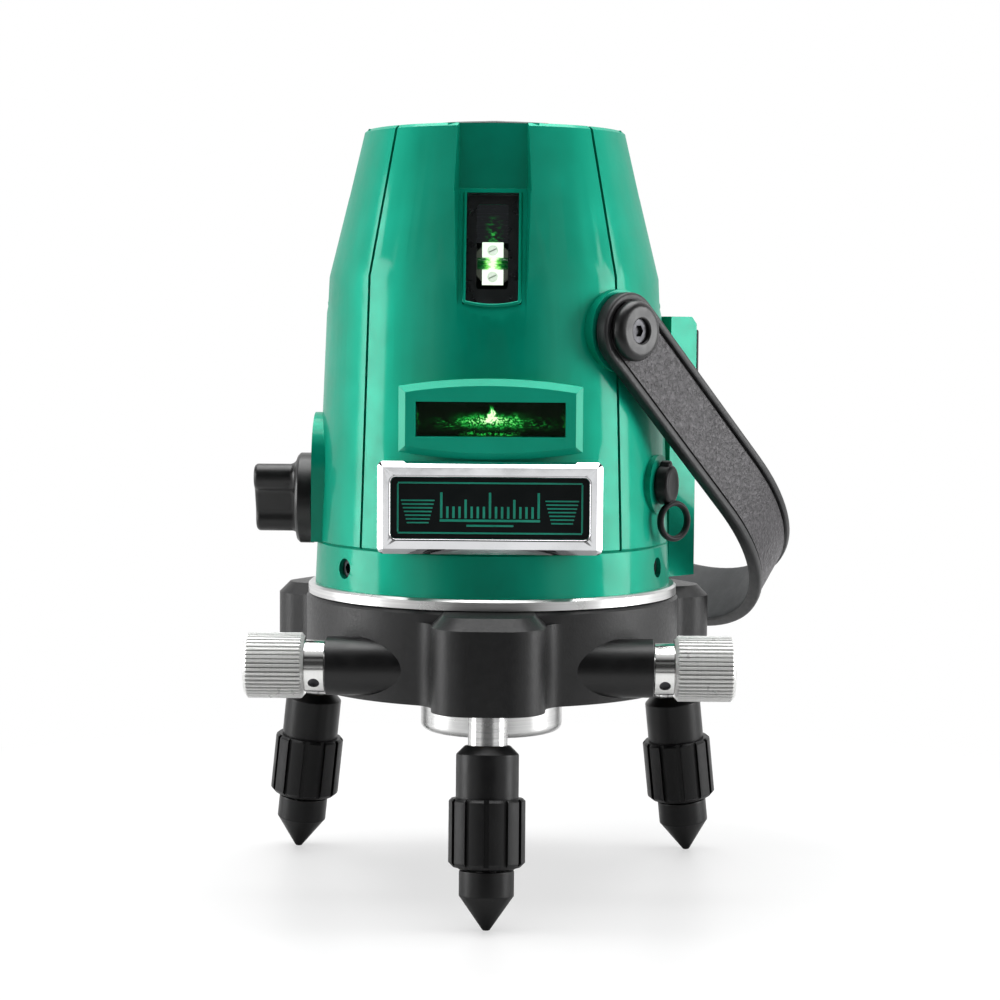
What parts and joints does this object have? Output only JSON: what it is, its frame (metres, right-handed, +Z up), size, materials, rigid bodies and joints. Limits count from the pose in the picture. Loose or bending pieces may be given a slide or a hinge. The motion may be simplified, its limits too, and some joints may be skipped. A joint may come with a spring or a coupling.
{
  "type": "line laser level",
  "caption": "Line laser level: tapered head with a gimballed pendulum, strap handle and lock, turning on a levelling base with screw legs and fine-adjust knobs.",
  "frame": {"origin": "centre of the tripod socket's mouth, under the base", "axes": "+Z up along the turning axis, -Y towards the front window, +X to the right of the front"},
  "size_m": [0.1502, 0.1577, 0.206],
  "materials": {
    "green": "satin",
    "base_dark": "satin",
    "black_plastic": "satin",
    "black_rubber": "matte",
    "strap": "satin",
    "bright_steel": "satin",
    "bright_aluminium": "satin",
    "chrome": "polished",
    "dark_plate": "gloss",
    "dark_glass": "gloss",
    "clear_glass": "gloss",
    "brass": "satin",
    "dark_steel": "satin",
    "board": "satin",
    "inner_frame": "matte",
    "cell": "gloss",
    "red_lens": "gloss",
    "grey_button": "matte"
  },
  "bodies": {
    "base": {"base_housing": "base_dark", "tripod_socket": "bright_aluminium", "leg_nuts": "brass", "worm_bushes": "black_plastic"},
    "fine_ring": {"worm_wheel": "brass"},
    "head": {"turntable": "bright_aluminium", "spindle_nut": "bright_steel", "lower_band": "green", "band_screws": "dark_steel", "front_shell": "green", "right_shell": "green", "back_shell": "green", "left_shell": "green", "vertical_windows": "dark_glass", "window_bezel": "green", "horizontal_window": "dark_glass", "badge_frame": "chrome", "badge_plate": "dark_plate", "handle_pads": "green", "handle_caps": "black_plastic", "handle_screws": "dark_steel", "battery_box": "green", "battery_cells": "cell", "chassis": "inner_frame", "circuit_board": "board", "top_cap": "green", "keypad_panel": "black_plastic", "indicator_led": "red_lens"},
    "worm": {"worm_shaft": "bright_steel", "fine_knob_left": "bright_aluminium", "fine_knob_right": "bright_aluminium", "knob_set_screws": "dark_steel"},
    "foot_1": {"leg_foot_1": "black_plastic"},
    "leg_1": {"leg_screw_1": "bright_steel", "leg_sleeve_1": "black_plastic", "leg_grip_1": "black_rubber"},
    "foot_2": {"leg_foot_2": "black_plastic"},
    "leg_2": {"leg_screw_2": "bright_steel", "leg_sleeve_2": "black_plastic", "leg_grip_2": "black_rubber"},
    "foot_3": {"leg_foot_3": "black_plastic"},
    "leg_3": {"leg_screw_3": "bright_steel", "leg_sleeve_3": "black_plastic", "leg_grip_3": "black_rubber"},
    "handle": {"handle_strap": "strap"},
    "lock": {"lock_knob": "black_plastic", "lock_shaft": "bright_steel"},
    "lock_lifter": {"lock_plate": "bright_steel"},
    "gimbal": {"gimbal_ring": "bright_aluminium"},
    "pendulum": {"pendulum_body": "brass", "laser_barrels": "brass", "lens_clamps": "bright_aluminium", "clamp_screws": "bright_steel", "rod_lenses": "clear_glass"},
    "door": {"battery_door": "green", "battery_latch": "black_plastic"},
    "plug": {"jack_plug": "black_rubber"},
    "button_1": {"button_1": "grey_button"},
    "button_2": {"button_2": "grey_button"},
    "button_3": {"button_3": "grey_button"}
  },
  "joints": [
    {"name": "fine_turn", "type": "hinge", "parent": "base", "child": "fine_ring", "pos_m": [0, 0, 0.0223], "axis": [0, 0, 1], "continuous": true},
    {"name": "coarse_turn", "type": "hinge", "parent": "fine_ring", "child": "head", "pos_m": [0, 0, 0.0223], "axis": [0, 0, 1], "continuous": true},
    {"name": "worm_spin", "type": "hinge", "parent": "base", "child": "worm", "pos_m": [0, -0.038, 0.0223], "axis": [1, 0, 0], "continuous": true},
    {"name": "leg_1_travel", "type": "slide", "parent": "base", "child": "foot_1", "axis": [0, -0.1219, -0.9925], "range_m": [-0.005, 0.005]},
    {"name": "leg_1_turn", "type": "hinge", "parent": "foot_1", "child": "leg_1", "pos_m": [0, -0.0653, -0.0405], "axis": [0, -0.1219, -0.9925], "range_deg": [-1206, 1206]},
    {"name": "leg_2_travel", "type": "slide", "parent": "base", "child": "foot_2", "axis": [0.1055, 0.0609, -0.9925], "range_m": [-0.005, 0.005]},
    {"name": "leg_2_turn", "type": "hinge", "parent": "foot_2", "child": "leg_2", "pos_m": [0.05655, 0.03265, -0.0405], "axis": [0.1055, 0.0609, -0.9925], "range_deg": [-1206, 1206]},
    {"name": "leg_3_travel", "type": "slide", "parent": "base", "child": "foot_3", "axis": [-0.1055, 0.0609, -0.9925], "range_m": [-0.005, 0.005]},
    {"name": "leg_3_turn", "type": "hinge", "parent": "foot_3", "child": "leg_3", "pos_m": [-0.05655, 0.03265, -0.0405], "axis": [-0.1055, 0.0609, -0.9925], "range_deg": [-1206, 1206]},
    {"name": "handle_swing", "type": "hinge", "parent": "head", "child": "handle", "pos_m": [0, 0, 0.1099], "axis": [0.7071, -0.7071, 0], "range_deg": [0, 200]},
    {"name": "lock_turn", "type": "hinge", "parent": "head", "child": "lock", "pos_m": [0, 0, 0.0635], "axis": [1, 0, 0], "range_deg": [0, 90.5]},
    {"name": "lock_lift", "type": "slide", "parent": "head", "child": "lock_lifter", "axis": [0, 0, 1], "range_m": [0, 0.002]},
    {"name": "gimbal_roll", "type": "hinge", "parent": "head", "child": "gimbal", "pos_m": [0, 0, 0.1099], "axis": [0.7071, -0.7071, 0], "range_deg": [-3, 3]},
    {"name": "pendulum_pitch", "type": "hinge", "parent": "gimbal", "child": "pendulum", "pos_m": [0, 0, 0.1099], "axis": [0.7071, 0.7071, 0], "range_deg": [-3, 3]},
    {"name": "door_swing", "type": "hinge", "parent": "head", "child": "door", "pos_m": [0.03691, 0.03691, 0.045], "axis": [-0.7071, 0.7071, 0], "range_deg": [0, 75]},
    {"name": "plug_pull", "type": "slide", "parent": "head", "child": "plug", "axis": [0.9272, -0.3746, 0], "range_m": [0, 0.004]},
    {"name": "button_1_press", "type": "slide", "parent": "head", "child": "button_1", "axis": [0, 0, -1], "range_m": [0, 0.0008], "stiffness_N_per_m": 200},
    {"name": "button_2_press", "type": "slide", "parent": "head", "child": "button_2", "axis": [0, 0, -1], "range_m": [0, 0.0008], "stiffness_N_per_m": 200},
    {"name": "button_3_press", "type": "slide", "parent": "head", "child": "button_3", "axis": [0, 0, -1], "range_m": [0, 0.0008], "stiffness_N_per_m": 200}
  ],
  "couplings": [
    {"joint": "fine_turn", "follows": "worm_spin", "ratio": -0.015152},
    {"joint": "leg_1_turn", "follows": "leg_1_travel", "rad_per_m": 4188.8},
    {"joint": "leg_2_turn", "follows": "leg_2_travel", "rad_per_m": 4188.8},
    {"joint": "leg_3_turn", "follows": "leg_3_travel", "rad_per_m": 4188.8},
    {"joint": "lock_turn", "follows": "lock_lift", "rad_per_m": 785.4}
  ]
}
